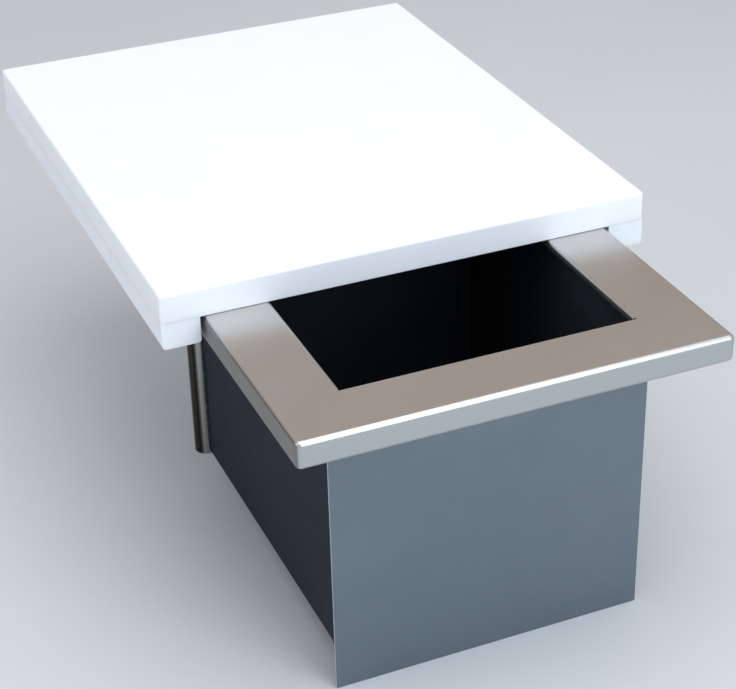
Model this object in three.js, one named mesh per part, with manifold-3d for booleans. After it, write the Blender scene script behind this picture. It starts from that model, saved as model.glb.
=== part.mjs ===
// Counter-top well with a sliding cover, in millimetres, +Z up.
// A stainless frame sits on a worktop on its folded rim, a sheet-metal well hangs under it, and a
// thick plastic cover slides back and forth over it on two runners.
//
// The origin is on the worktop's surface, in the middle of the front strip that the frame rests on.
// The front of the object looks along -Y.

import * as THREE from 'three';
import { mergeVertices } from 'three/addons/utils/BufferGeometryUtils.js';
import Module from 'manifold-3d';

const wasm = await Module();
wasm.setup();

// ---------------------------------------------------------------- driving dimensions

const GAP = 0.3; // clearance between pieces that rest on each other
const SHEET = 1.5; // sheet thickness
const BEND = 1.5; // radius of a bend, on the sheet's middle line
const BEND_STEPS = 4; // straight steps in a bend

const FRAME_WIDTH = 350;
const FRAME_DEPTH = 500;
const FRAME_HEIGHT = 22.5; // the rim, from the worktop to the top face
const FRAME_ROUND = 4; // rounding of the folded rim
const FRAME_CORNER = 5; // corner radius seen from above
const SEAT_WIDTH = 14; // return fold that rests on the worktop

const MOUTH_WIDTH = 240;
const MOUTH_DEPTH = 310;
const MOUTH_MARGIN = 55.5; // frame's front to the mouth
const MOUTH_LIP = 6; // edge turned down around the mouth
const RELIEF_RADIUS = 1.2; // little round relief in each corner of the mouth

const WELL_WIDTH = 263; // outside of the side walls
const WALL_DROP = 234; // frame's top to the walls' lower edge
const PANEL_WIDTH = 266;
const PANEL_DROP = 270; // the front panel hangs lower than the walls
const HANGER_FLANGE = 18; // flange that hangs each wall from the frame
const FOOT_FLANGE = 14; // flange that carries the base

const POST_RADIUS = 10.65; // 21.3 mm tube
const POST_WALL = 2;
const PLUG_LENGTH = 15;

const LINER_WALL = 2.5;
const LINER_TOP = 12;
const LINER_FOOT = 5; // recess under the liner's floor

const COVER_WIDTH = 418;
const COVER_DEPTH = 505;
const COVER_THICKNESS = 25;
const COVER_ROUND = 1;
const COVER_OPEN = 197; // frame's front to the cover's front, as the cover is drawn open
const RUNNER_WIDTH = 31.5;
const RUNNER_HEIGHT = 22;
const RUNNER_ROUND = 3;

const RUNNER_SCREW = {
  count: 4,
  head: 4.8,
  headHeight: 2.8,
  shank: 2.4,
  length: 36,
  sunk: 1, // the head's face above the runner's underside
  socket: 2,
  socketDepth: 1.8,
  inset: 40, // the cover's end to the first screw
};
const BASE_SCREW = { count: 3, head: 4.5, headHeight: 2.6, shank: 2.4, length: 6, inset: 34 };
const STUD = {
  count: 3, // along each side of the well
  radius: 2.5,
  length: 13,
  nut: 4.6,
  nutHeight: 4,
  washer: 6,
  washerHeight: 1,
  inset: 30, // a side wall's end to its first stud
  reach: 95, // from the middle, along the front and the rear
};

const STIFFENER = { sheet: 1.2, halfWidth: 30, halfFoot: 18, sideGap: 3, footGap: 2 };

// ---------------------------------------------------------------- places that follow from them

const FRAME_FRONT = -SEAT_WIDTH / 2;
const FRAME_BACK = FRAME_FRONT + FRAME_DEPTH;
const FRAME_MIDDLE = FRAME_FRONT + FRAME_DEPTH / 2;
const FRAME_UNDERSIDE = FRAME_HEIGHT - SHEET;

const MOUTH_FRONT = FRAME_FRONT + MOUTH_MARGIN;
const MOUTH_BACK = MOUTH_FRONT + MOUTH_DEPTH;

const HANGER_Z = FRAME_UNDERSIDE - GAP - SHEET / 2; // middle line of the hanger flanges
const WALL_BOTTOM = FRAME_HEIGHT - WALL_DROP;
const FOOT_Z = WALL_BOTTOM + SHEET / 2;
const PANEL_BOTTOM = FRAME_HEIGHT - PANEL_DROP;

const PANEL_Y = MOUTH_FRONT - SHEET - GAP - SHEET / 2; // middle line, just before the mouth's lip
const WALL_FRONT = PANEL_Y + SHEET / 2 + GAP;
const REAR_WALL_Y = MOUTH_BACK + SHEET + GAP + SHEET / 2;
const WALL_X = (WELL_WIDTH - SHEET) / 2;
const WALL_BACK = REAR_WALL_Y - POST_RADIUS - GAP;
const LIP_BOTTOM = FRAME_HEIGHT - MOUTH_LIP;
const POST_TOP = LIP_BOTTOM - GAP; // the posts stop under the corners of the mouth's lip

const BASE_BOTTOM = WALL_BOTTOM + SHEET + GAP;
const BASE_TOP = BASE_BOTTOM + SHEET;
const LINER_BOTTOM = BASE_TOP + GAP;
const INNER_X = WALL_X - SHEET / 2 - GAP; // what stands inside the walls
const INNER_FRONT = WALL_FRONT + SHEET + GAP;
const INNER_BACK = REAR_WALL_Y - SHEET / 2 - GAP;

const COVER_BOTTOM = FRAME_HEIGHT + GAP;
const COVER_FRONT = FRAME_FRONT + COVER_OPEN;
const RUNNER_X = (COVER_WIDTH - RUNNER_WIDTH) / 2;
const RUNNER_TOP = COVER_BOTTOM - GAP;
const RUNNER_BOTTOM = RUNNER_TOP - RUNNER_HEIGHT;

// ---------------------------------------------------------------- materials

const steel = (color, roughness) => new THREE.MeshStandardMaterial({ color, roughness, metalness: 1 });
const plastic = (color, roughness) => new THREE.MeshStandardMaterial({ color, roughness, metalness: 0 });

const brushedSteel = steel(0xb4aca4, 0.35);
const panelSteel = steel(0x6d7c85, 0.45);
const wallSteel = steel(0x565a60, 0.5);
const tubeSteel = steel(0x5a5854, 0.3);
const screwSteel = steel(0x9a9a98, 0.35);
const whitePlastic = plastic(0xf4f7fa, 0.5);
const blackPlastic = plastic(0x101315, 0.7);

// ---------------------------------------------------------------- solids

/** A closed three.js geometry as a solid that can be joined and cut. */
function solid(geometry) {
  const bare = geometry.index ? geometry.toNonIndexed() : geometry.clone();
  bare.deleteAttribute('normal');
  bare.deleteAttribute('uv');
  const merged = mergeVertices(bare, 1e-4);
  return new wasm.Manifold(new wasm.Mesh({
    numProp: 3,
    vertProperties: new Float32Array(merged.attributes.position.array),
    triVerts: new Uint32Array(merged.index.array),
  }));
}

/** A solid back as a three.js geometry. */
function geometryOf(body) {
  const mesh = body.getMesh();
  const geometry = new THREE.BufferGeometry();
  geometry.setAttribute('position', new THREE.BufferAttribute(new Float32Array(mesh.vertProperties), 3));
  geometry.setIndex(new THREE.BufferAttribute(new Uint32Array(mesh.triVerts), 1));
  geometry.computeVertexNormals();
  return geometry;
}

function box(left, right, front, back, bottom, top) {
  const geometry = new THREE.BoxGeometry(right - left, back - front, top - bottom);
  return solid(geometry.translate((left + right) / 2, (front + back) / 2, (bottom + top) / 2));
}

function upright(x, y, radius, bottom, top, sides = 32) {
  const geometry = new THREE.CylinderGeometry(radius, radius, top - bottom, sides);
  return solid(geometry.rotateX(Math.PI / 2).translate(x, y, (bottom + top) / 2));
}

/** A turned body on a vertical axis; its outline is a list of [radius, height]. */
function turned(outline, sides = 16) {
  const points = outline.map(([radius, height]) => new THREE.Vector2(radius, height));
  return new THREE.LatheGeometry(points, sides).rotateX(Math.PI / 2);
}

function roundedRectangle(width, depth, radius) {
  const [x, y] = [width / 2, depth / 2];
  const shape = new THREE.Shape();
  shape.moveTo(-x + radius, -y);
  shape.lineTo(x - radius, -y);
  shape.absarc(x - radius, -y + radius, radius, -Math.PI / 2, 0);
  shape.lineTo(x, y - radius);
  shape.absarc(x - radius, y - radius, radius, 0, Math.PI / 2);
  shape.lineTo(-x + radius, y);
  shape.absarc(-x + radius, y - radius, radius, Math.PI / 2, Math.PI);
  shape.lineTo(-x, -y + radius);
  shape.absarc(-x + radius, -y + radius, radius, Math.PI, Math.PI * 1.5);
  return shape;
}

/** A slab with rounded corners from above and all its edges rounded. */
function roundedSlab(width, depth, corner, bottom, top, edge, steps = 3) {
  const geometry = new THREE.ExtrudeGeometry(roundedRectangle(width, depth, corner), {
    depth: top - bottom - 2 * edge,
    curveSegments: 5,
    bevelEnabled: true,
    bevelThickness: edge,
    bevelSize: edge,
    bevelOffset: -edge,
    bevelSegments: steps,
  });
  return geometry.translate(0, 0, bottom + edge);
}

/** The outline of a bent sheet. Its middle line runs through the corners, each a right-angle bend. */
function sheetOutline(corners, thickness = SHEET) {
  const line = [];
  corners.map(([a, b]) => new THREE.Vector2(a, b)).forEach((corner, i, all) => {
    if (i === 0 || i === all.length - 1) {
      line.push(corner);
      return;
    }
    const before = all[i - 1].clone().sub(corner).setLength(BEND);
    const after = all[i + 1].clone().sub(corner).setLength(BEND);
    const centre = corner.clone().add(before).add(after);
    for (let step = 0; step <= BEND_STEPS; step += 1) {
      const turn = (step / BEND_STEPS) * (Math.PI / 2);
      line.push(centre.clone()
        .addScaledVector(after, -Math.cos(turn))
        .addScaledVector(before, -Math.sin(turn)));
    }
  });
  const side = (sign) => line.map((point, i) => {
    const ahead = (line[i + 1] ?? point).clone().sub(i < line.length - 1 ? point : line[i - 1]).normalize();
    const behind = point.clone().sub(i > 0 ? line[i - 1] : point);
    const along = (i > 0 ? behind.normalize() : ahead.clone()).add(ahead).normalize();
    const mitre = (sign * thickness) / 2 / along.dot(ahead);
    return point.clone().add(new THREE.Vector2(-along.y, along.x).multiplyScalar(mitre));
  });
  return new THREE.Shape([...side(1), ...side(-1).reverse()]);
}

const AXES = {
  x: new THREE.Matrix4().makeBasis(
    new THREE.Vector3(0, 1, 0),
    new THREE.Vector3(0, 0, 1),
    new THREE.Vector3(1, 0, 0),
  ),
  y: new THREE.Matrix4().makeBasis(
    new THREE.Vector3(0, 0, 1),
    new THREE.Vector3(1, 0, 0),
    new THREE.Vector3(0, 1, 0),
  ),
  z: new THREE.Matrix4(),
};

/** A shape pushed along an axis. The shape is drawn in (y, z) for x, (z, x) for y and (x, y) for z. */
function extruded(shape, axis, from, to) {
  const geometry = new THREE.ExtrudeGeometry(shape, { depth: to - from, bevelEnabled: false });
  return geometry.translate(0, 0, from).applyMatrix4(AXES[axis]);
}

/** The same piece mirrored to the other side, still with its faces outwards. */
function mirrored(body) {
  return body.mirror([1, 0, 0]);
}

/** Evenly spaced places from one value to another, ends included. */
function spaced(from, to, count) {
  return Array.from({ length: count }, (_, i) => from + ((to - from) * i) / (count - 1));
}

function named(name, geometry, material) {
  const mesh = new THREE.Mesh(geometry, material);
  mesh.name = name;
  return mesh;
}

/** One fastener at each place, each a mesh of its own, numbered from 1. */
function fasteners(name, geometry, places) {
  return places.map(([x, y, z], i) => {
    const mesh = named(`${name}_${i + 1}`, geometry, screwSteel);
    mesh.position.set(x, y, z);
    return mesh;
  });
}

// ---------------------------------------------------------------- fastener places

const COVER_SCREW_Y = spaced(RUNNER_SCREW.inset, COVER_DEPTH - RUNNER_SCREW.inset, RUNNER_SCREW.count);
const HANGER_X = WALL_X + SHEET / 2 + HANGER_FLANGE / 2 + 1;
const SIDE_STUD_Y = spaced(WALL_FRONT + STUD.inset, WALL_BACK - STUD.inset, STUD.count);
const CROSS_STUD_X = spaced(-STUD.reach, STUD.reach, STUD.count);
const FRONT_STUD_Y = PANEL_Y - SHEET / 2 - HANGER_FLANGE / 2;
const REAR_STUD_Y = REAR_WALL_Y + SHEET / 2 + HANGER_FLANGE / 2;
const BASE_SCREW_X = WALL_X - SHEET / 2 - FOOT_FLANGE / 2;
const BASE_SCREW_Y = spaced(
  WALL_FRONT + BASE_SCREW.inset,
  WALL_BACK - BASE_SCREW.inset,
  BASE_SCREW.count,
);

const holeRadius = (radius) => radius + GAP;

/** Holes through a flange or sheet, at the given places. */
function drilled(body, radius, places, bottom, top) {
  return places.reduce(
    (rest, [x, y]) => rest.subtract(upright(x, y, holeRadius(radius), bottom, top, 12)),
    body,
  );
}

// ---------------------------------------------------------------- frame

function topFrame() {
  const slab = (inset, bottom, top, edge) => solid(roundedSlab(
    FRAME_WIDTH - 2 * inset,
    FRAME_DEPTH - 2 * inset,
    FRAME_CORNER - inset,
    bottom,
    top,
    edge,
  ).translate(0, FRAME_MIDDLE, 0));
  const skin = slab(0, 0, FRAME_HEIGHT, FRAME_ROUND)
    .subtract(slab(SHEET, SHEET, FRAME_UNDERSIDE, FRAME_ROUND - SHEET))
    .subtract(box(
      -FRAME_WIDTH / 2 + SEAT_WIDTH,
      FRAME_WIDTH / 2 - SEAT_WIDTH,
      FRAME_FRONT + SEAT_WIDTH,
      FRAME_BACK - SEAT_WIDTH,
      -1,
      SHEET + 1,
    ));
  const mouthBox = (grow, bottom, top) => box(
    -MOUTH_WIDTH / 2 - grow,
    MOUTH_WIDTH / 2 + grow,
    MOUTH_FRONT - grow,
    MOUTH_BACK + grow,
    bottom,
    top,
  );
  let frame = skin
    .add(mouthBox(SHEET, LIP_BOTTOM, FRAME_UNDERSIDE + SHEET / 2))
    .subtract(mouthBox(0, 0, FRAME_HEIGHT + 1));
  for (const x of [-MOUTH_WIDTH / 2, MOUTH_WIDTH / 2]) {
    for (const y of [MOUTH_FRONT, MOUTH_BACK]) {
      frame = frame.subtract(upright(x, y, RELIEF_RADIUS, 0, FRAME_HEIGHT + 1, 12));
    }
  }
  return geometryOf(frame);
}

/** Hat-shaped channel bonded under the shelf behind the mouth, where the open cover's weight rests. */
function shelfStiffener() {
  const { sheet, halfWidth, halfFoot, sideGap, footGap } = STIFFENER;
  const middle = (REAR_WALL_Y + HANGER_FLANGE + FRAME_BACK - SEAT_WIDTH) / 2;
  const top = FRAME_UNDERSIDE - GAP - sheet / 2;
  const bottom = SHEET + footGap;
  const outline = sheetOutline([
    [middle - halfWidth, top],
    [middle - halfFoot, top],
    [middle - halfFoot, bottom],
    [middle + halfFoot, bottom],
    [middle + halfFoot, top],
    [middle + halfWidth, top],
  ], sheet);
  const reach = FRAME_WIDTH / 2 - SEAT_WIDTH - sideGap;
  return extruded(outline, 'x', -reach, reach);
}

/** Weld stud of the frame with its washer and nut, hanging from the frame's underside. */
function studWithNut() {
  const nutTop = HANGER_Z - SHEET / 2 - GAP;
  const stud = upright(0, 0, STUD.radius, FRAME_UNDERSIDE - GAP - STUD.length, FRAME_UNDERSIDE - GAP, 12);
  const washer = upright(0, 0, STUD.washer, nutTop - STUD.washerHeight, nutTop, 16);
  const nut = upright(
    0,
    0,
    STUD.nut,
    nutTop - STUD.washerHeight - STUD.nutHeight,
    nutTop - STUD.washerHeight / 2,
    6,
  );
  return geometryOf(stud.add(washer).add(nut));
}

// ---------------------------------------------------------------- well

function frontPanel() {
  const outline = sheetOutline([
    [PANEL_Y - SHEET / 2 - HANGER_FLANGE, HANGER_Z],
    [PANEL_Y, HANGER_Z],
    [PANEL_Y, PANEL_BOTTOM],
  ]);
  const panel = solid(extruded(outline, 'x', -PANEL_WIDTH / 2, PANEL_WIDTH / 2));
  const holes = CROSS_STUD_X.map((x) => [x, FRONT_STUD_Y]);
  return geometryOf(drilled(panel, STUD.radius, holes, HANGER_Z - SHEET, HANGER_Z + SHEET));
}

/** Side wall: hanger flange outwards, foot flange inwards, and a flange behind the front panel. */
function sideWallLeft() {
  const outline = sheetOutline([
    [HANGER_Z, -WALL_X - SHEET / 2 - HANGER_FLANGE],
    [HANGER_Z, -WALL_X],
    [FOOT_Z, -WALL_X],
    [FOOT_Z, -WALL_X + SHEET / 2 + FOOT_FLANGE],
  ]);
  const frontOutline = sheetOutline([
    [-WALL_X, WALL_FRONT + 8],
    [-WALL_X, WALL_FRONT + SHEET / 2],
    [-WALL_X + FOOT_FLANGE, WALL_FRONT + SHEET / 2],
  ]);
  const wall = solid(extruded(outline, 'y', WALL_FRONT + BEND + SHEET / 2, WALL_BACK))
    .add(solid(extruded(frontOutline, 'z', WALL_BOTTOM + 3, LIP_BOTTOM - 1)));
  const hung = drilled(
    wall,
    STUD.radius,
    SIDE_STUD_Y.map((y) => [-HANGER_X, y]),
    HANGER_Z - SHEET,
    HANGER_Z + SHEET,
  );
  const places = BASE_SCREW_Y.map((y) => [-BASE_SCREW_X, y]);
  return drilled(hung, BASE_SCREW.shank, places, FOOT_Z - SHEET, FOOT_Z + SHEET);
}

function rearWall() {
  const outline = sheetOutline([
    [REAR_WALL_Y + SHEET / 2 + HANGER_FLANGE, HANGER_Z],
    [REAR_WALL_Y, HANGER_Z],
    [REAR_WALL_Y, FOOT_Z],
    [WALL_BACK + GAP, FOOT_Z],
  ]);
  const reach = WALL_X - POST_RADIUS - GAP;
  const wall = solid(extruded(outline, 'x', -reach, reach));
  const holes = CROSS_STUD_X.map((x) => [x, REAR_STUD_Y]);
  return geometryOf(drilled(wall, STUD.radius, holes, HANGER_Z - SHEET, HANGER_Z + SHEET));
}

function rearPost(x) {
  const tube = upright(x, REAR_WALL_Y, POST_RADIUS, WALL_BOTTOM, POST_TOP, 40);
  return geometryOf(tube.subtract(upright(
    x,
    REAR_WALL_Y,
    POST_RADIUS - POST_WALL,
    WALL_BOTTOM - 1,
    POST_TOP + 1,
    40,
  )));
}

function postPlug(x) {
  const radius = POST_RADIUS - POST_WALL - GAP;
  return geometryOf(upright(x, REAR_WALL_Y, radius, WALL_BOTTOM + 0.5, WALL_BOTTOM + PLUG_LENGTH, 32));
}

/** What the two rear posts leave of a body that stands inside the well. */
function clearOfPosts(body, clearance) {
  const post = upright(WALL_X, REAR_WALL_Y, POST_RADIUS + clearance, -400, 100, 40);
  return body.subtract(post).subtract(mirrored(post));
}

function basePanel() {
  const sheet = box(-INNER_X, INNER_X, INNER_FRONT, INNER_BACK, BASE_BOTTOM, BASE_TOP);
  const holes = BASE_SCREW_Y.flatMap((y) => [[-BASE_SCREW_X, y], [BASE_SCREW_X, y]]);
  return geometryOf(drilled(
    clearOfPosts(sheet, GAP),
    BASE_SCREW.shank,
    holes,
    BASE_BOTTOM - 1,
    BASE_TOP + 1,
  ));
}

/** Black moulded liner that follows the walls and the posts, with a foot rim around its floor. */
function wellLiner() {
  const block = (inset, bottom, top) => clearOfPosts(box(
    -INNER_X + inset,
    INNER_X - inset,
    INNER_FRONT + inset,
    INNER_BACK - inset,
    bottom,
    top,
  ), GAP + inset);
  const floor = LINER_BOTTOM + LINER_FOOT;
  return geometryOf(block(0, LINER_BOTTOM, LINER_TOP)
    .subtract(block(LINER_WALL, floor + LINER_WALL, LINER_TOP + 1))
    .subtract(block(LINER_WALL, LINER_BOTTOM - 1, floor)));
}

/** Pan-head screw, driven upwards through a foot flange into the base. */
function baseScrew() {
  const { head, headHeight, shank, length } = BASE_SCREW;
  return turned([
    [0, -headHeight],
    [head * 0.7, -headHeight],
    [head, -headHeight * 0.45],
    [head, 0],
    [shank, 0],
    [shank, length],
    [0, length],
  ]);
}

// ---------------------------------------------------------------- cover

/** A countersunk screw's outline behind its face, grown by a clearance for its hole. */
function countersunk(clearance) {
  const { head, headHeight, shank, length, sunk } = RUNNER_SCREW;
  return [
    [head + clearance, sunk],
    [shank + clearance, sunk + headHeight],
    [shank + clearance, sunk + length + clearance],
    [0, sunk + length + clearance],
  ];
}

function runnerScrew() {
  const { socket, socketDepth, sunk } = RUNNER_SCREW;
  const hexagon = upright(0, 0, socket, 0, sunk + socketDepth, 6);
  return geometryOf(solid(turned([[0, sunk], ...countersunk(0)])).subtract(hexagon));
}

/** The screw holes of both runners, cut into the runner or the board. */
function withScrewHoles(body) {
  const mouth = [[0, -1], [RUNNER_SCREW.head + GAP, -1]];
  const hole = solid(turned([...mouth, ...countersunk(GAP)])).translate([0, 0, RUNNER_BOTTOM]);
  const places = COVER_SCREW_Y.flatMap((y) => [[-RUNNER_X, y, 0], [RUNNER_X, y, 0]]);
  return places.reduce((rest, place) => rest.subtract(hole.translate(place)), body);
}

function coverBoard() {
  const slab = roundedSlab(
    COVER_WIDTH,
    COVER_DEPTH,
    2,
    COVER_BOTTOM,
    COVER_BOTTOM + COVER_THICKNESS,
    COVER_ROUND,
    2,
  );
  return geometryOf(withScrewHoles(solid(slab.translate(0, COVER_DEPTH / 2, 0))));
}

function runner(x) {
  const shape = new THREE.Shape();
  const half = RUNNER_WIDTH / 2;
  shape.moveTo(RUNNER_TOP, -half);
  shape.lineTo(RUNNER_TOP, half);
  shape.lineTo(RUNNER_BOTTOM + RUNNER_ROUND, half);
  shape.absarc(RUNNER_BOTTOM + RUNNER_ROUND, half - RUNNER_ROUND, RUNNER_ROUND, Math.PI / 2, Math.PI);
  shape.lineTo(RUNNER_BOTTOM, -half + RUNNER_ROUND);
  shape.absarc(RUNNER_BOTTOM + RUNNER_ROUND, RUNNER_ROUND - half, RUNNER_ROUND, Math.PI, Math.PI * 1.5);
  const bar = solid(extruded(shape, 'y', 0, COVER_DEPTH).translate(x, 0, 0));
  return geometryOf(withScrewHoles(bar));
}

// ---------------------------------------------------------------- assembly

const SIDES = [['left', -1], ['right', 1]];

const cover = new THREE.Group();
cover.position.y = COVER_FRONT;
cover.add(named('cover_board', coverBoard(), whitePlastic));
for (const [side, sign] of SIDES) {
  const places = COVER_SCREW_Y.map((y) => [sign * RUNNER_X, y, RUNNER_BOTTOM]);
  cover.add(named(`runner_${side}`, runner(sign * RUNNER_X), whitePlastic));
  cover.add(...fasteners(`runner_screw_${side}`, runnerScrew(), places));
}

const housing = new THREE.Group();
housing.add(named('top_frame', topFrame(), brushedSteel));
housing.add(named('shelf_stiffener', shelfStiffener(), brushedSteel));
housing.add(named('front_panel', frontPanel(), panelSteel));
housing.add(named('side_wall_left', geometryOf(sideWallLeft()), wallSteel));
housing.add(named('side_wall_right', geometryOf(mirrored(sideWallLeft())), wallSteel));
housing.add(named('rear_wall', rearWall(), wallSteel));
housing.add(named('base_panel', basePanel(), wallSteel));
housing.add(named('well_liner', wellLiner(), blackPlastic));
for (const [side, sign] of SIDES) {
  const studs = SIDE_STUD_Y.map((y) => [sign * HANGER_X, y, 0]);
  const screws = BASE_SCREW_Y.map((y) => [sign * BASE_SCREW_X, y, WALL_BOTTOM - GAP]);
  housing.add(named(`rear_post_${side}`, rearPost(sign * WALL_X), tubeSteel));
  housing.add(named(`post_plug_${side}`, postPlug(sign * WALL_X), blackPlastic));
  housing.add(...fasteners(`stud_nut_${side}`, studWithNut(), studs));
  housing.add(...fasteners(`base_screw_${side}`, baseScrew(), screws));
}
for (const [side, y] of [['front', FRONT_STUD_Y], ['rear', REAR_STUD_Y]]) {
  const studs = CROSS_STUD_X.map((x) => [x, y, 0]);
  housing.add(...fasteners(`stud_nut_${side}`, studWithNut(), studs));
}

const group = new THREE.Group();
group.add(housing, cover);

export default group;
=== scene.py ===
# %% [markdown]
# # A counter-top well with a sliding cover
#
# This object drops into a worktop. A stainless frame carries its weight on a folded seat, a well of
# sheet metal hangs under it, and a thick white board slides over it on two plastic runners. The
# engineering model is loaded first and stays as it is. Every piece below is shaped again with finer
# edges and bends, takes the engineering piece's place, and gets a finish of its own.

# %% Load the fixed frame
import math

import bmesh
import bpy
from mathutils import Matrix, Vector


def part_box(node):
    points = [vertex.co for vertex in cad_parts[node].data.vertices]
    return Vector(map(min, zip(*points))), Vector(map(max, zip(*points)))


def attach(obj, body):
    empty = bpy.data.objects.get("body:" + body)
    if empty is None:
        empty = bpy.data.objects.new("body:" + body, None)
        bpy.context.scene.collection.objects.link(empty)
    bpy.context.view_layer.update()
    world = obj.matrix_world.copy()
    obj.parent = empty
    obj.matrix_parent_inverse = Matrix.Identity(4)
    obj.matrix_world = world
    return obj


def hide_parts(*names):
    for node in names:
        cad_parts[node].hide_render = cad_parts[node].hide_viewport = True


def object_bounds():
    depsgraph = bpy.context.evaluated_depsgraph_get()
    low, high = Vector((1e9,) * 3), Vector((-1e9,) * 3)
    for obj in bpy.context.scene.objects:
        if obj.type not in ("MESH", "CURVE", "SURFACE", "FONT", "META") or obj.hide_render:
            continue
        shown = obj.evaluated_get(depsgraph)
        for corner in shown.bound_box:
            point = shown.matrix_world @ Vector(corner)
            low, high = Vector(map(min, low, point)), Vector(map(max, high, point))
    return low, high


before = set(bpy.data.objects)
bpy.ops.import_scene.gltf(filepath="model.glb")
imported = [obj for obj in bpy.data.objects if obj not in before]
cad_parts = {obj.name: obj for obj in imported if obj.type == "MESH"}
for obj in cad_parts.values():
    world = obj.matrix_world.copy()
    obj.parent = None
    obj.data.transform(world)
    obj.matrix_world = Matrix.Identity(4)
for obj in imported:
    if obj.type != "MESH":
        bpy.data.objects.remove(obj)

MM = 0.001
cad_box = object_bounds()

# %% [markdown]
# ## Camera
#
# The camera comes first, because everything is judged through it. It stands well back at the front
# left and looks down at about thirty degrees through a long lens, so the cover's sides stay almost
# parallel. The lens is given in millimetres on a 36 mm sensor, and the small roll is the tilt of a
# camera held by hand.

# %% Place the camera
CAMERA_PLACE = Vector((-0.5296, -1.0131, 0.7211))
CAMERA_TARGET = Vector((-0.0631, 0.1330, 0.0))
CAMERA_ROLL = math.radians(-1.556)
CAMERA_LENS = 91.6


def make_camera():
    data = bpy.data.cameras.new("studio_camera")
    data.lens = CAMERA_LENS
    data.sensor_width = 36
    data.clip_start = 0.05
    data.clip_end = 50
    camera = bpy.data.objects.new("studio_camera", data)
    bpy.context.scene.collection.objects.link(camera)
    look = (CAMERA_TARGET - CAMERA_PLACE).to_track_quat("-Z", "Y").to_matrix().to_4x4()
    roll = Matrix.Rotation(CAMERA_ROLL, 4, "Z")
    camera.matrix_world = Matrix.Translation(CAMERA_PLACE) @ look @ roll
    bpy.context.scene.camera = camera
    return camera


camera = make_camera()
sight = CAMERA_PLACE - CAMERA_TARGET
print("camera looks down", round(math.degrees(math.asin(sight.z / sight.length)), 1), "deg")

# %% [markdown]
# ## Studio
#
# Steel shows its surroundings more than its own colour, so the surroundings are designed with it.
# The world is a soft gradient: a warm wall behind the object, cooler light from the front and from
# above. One large softbox overhead lights the white cover, a wide one at the front right draws the
# bright line along the rim's fold, and a weak one at the left lifts the cover's side.

# %% Floor and lights
FLOOR_GAP = 0.2 * MM
FLOOR_HALF = 6.0


def make_floor():
    shape = bmesh.new()
    bmesh.ops.create_grid(shape, x_segments=1, y_segments=1, size=FLOOR_HALF)
    bmesh.ops.translate(shape, verts=shape.verts, vec=(0, 0, cad_box[0].z - FLOOR_GAP))
    mesh = bpy.data.meshes.new("floor")
    shape.to_mesh(mesh)
    shape.free()
    floor = bpy.data.objects.new("floor", mesh)
    bpy.context.scene.collection.objects.link(floor)
    return floor


def make_softbox(name, place, target, size, power, colour):
    data = bpy.data.lights.new(name, "AREA")
    data.shape = "RECTANGLE"
    data.size, data.size_y = size
    data.energy = power
    data.color = colour
    softbox = bpy.data.objects.new(name, data)
    place, target = Vector(place), Vector(target)
    turn = (target - place).to_track_quat("-Z", "Y").to_matrix().to_4x4()
    softbox.matrix_world = Matrix.Translation(place) @ turn
    bpy.context.scene.collection.objects.link(softbox)


floor = make_floor()
make_softbox(
    "overhead_softbox", place=(0.1, -0.3, 1.9), target=(0, 0.1, 0), size=(1.9, 2.4), power=27,
    colour=(0.95, 0.98, 1.0))
make_softbox(
    "left_softbox", place=(-1.9, 0.5, 0.8), target=(-0.2, 0.4, 0), size=(1.2, 0.9), power=5.5,
    colour=(0.90, 0.95, 1.0))
make_softbox(
    "front_softbox", place=(0.7, -2.1, 1.1), target=(0, 0.1, 0), size=(1.6, 1.2), power=22,
    colour=(0.88, 0.94, 1.0))
print("studio: floor at", round(cad_box[0].z, 4), "m, three softboxes")

# %% World gradient
WALL_LIGHT = (0.46, 0.39, 0.335, 1)
FRONT_LIGHT = (0.56, 0.64, 0.75, 1)
CEILING_LIGHT = (0.72, 0.75, 0.80, 1)
WALL_BAND = (0.0, 0.6)
CEILING_BAND = (0.55, 1.0)


def blend_light(tree, direction, band, near, far):
    """One light turning into another as a direction's part passes through a band."""
    level = tree.nodes.new("ShaderNodeMapRange")
    level.inputs["From Min"].default_value, level.inputs["From Max"].default_value = band
    tree.links.new(direction, level.inputs["Value"])
    blend = tree.nodes.new("ShaderNodeMix")
    blend.data_type = "RGBA"
    tree.links.new(level.outputs["Result"], blend.inputs["Factor"])
    for label, light in (("A", near), ("B", far)):
        if isinstance(light, tuple):
            blend.inputs[label].default_value = light
        else:
            tree.links.new(light, blend.inputs[label])
    return blend.outputs["Result"]


def make_world():
    world = bpy.data.worlds.new("studio_world")
    world.use_nodes = True
    bpy.context.scene.world = world
    tree = world.node_tree
    split = tree.nodes.new("ShaderNodeSeparateXYZ")
    place = tree.nodes.new("ShaderNodeTexCoord").outputs["Generated"]
    tree.links.new(place, split.inputs[0])
    around = blend_light(tree, split.outputs["Y"], WALL_BAND, FRONT_LIGHT, WALL_LIGHT)
    light = blend_light(tree, split.outputs["Z"], CEILING_BAND, around, CEILING_LIGHT)
    tree.links.new(light, tree.nodes["Background"].inputs["Color"])


make_world()
bpy.context.scene.view_settings.view_transform = "Standard"
print("world gradient made")

# %% [markdown]
# ## Shared surface effects
#
# Brushed steel, moulded plastic and a handled board all need a few of the same effects: grain that
# runs one way, broad smudges from handling, and thin scratches. Each one is a node group with named
# inputs, built once. The groups give only masks and heights; the shader stays in each material.

# %% A small toolbox for node groups


def new_group(name, inputs, outputs):
    """An empty node group with float or vector sockets."""
    group = bpy.data.node_groups.new(name, "ShaderNodeTree")
    for label, kind, value in inputs:
        socket = group.interface.new_socket(label, in_out="INPUT", socket_type=kind)
        if value is not None:
            socket.default_value = value
    for label, kind in outputs:
        group.interface.new_socket(label, in_out="OUTPUT", socket_type=kind)
    start = group.nodes.new("NodeGroupInput")
    end = group.nodes.new("NodeGroupOutput")
    return group, start, end


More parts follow.
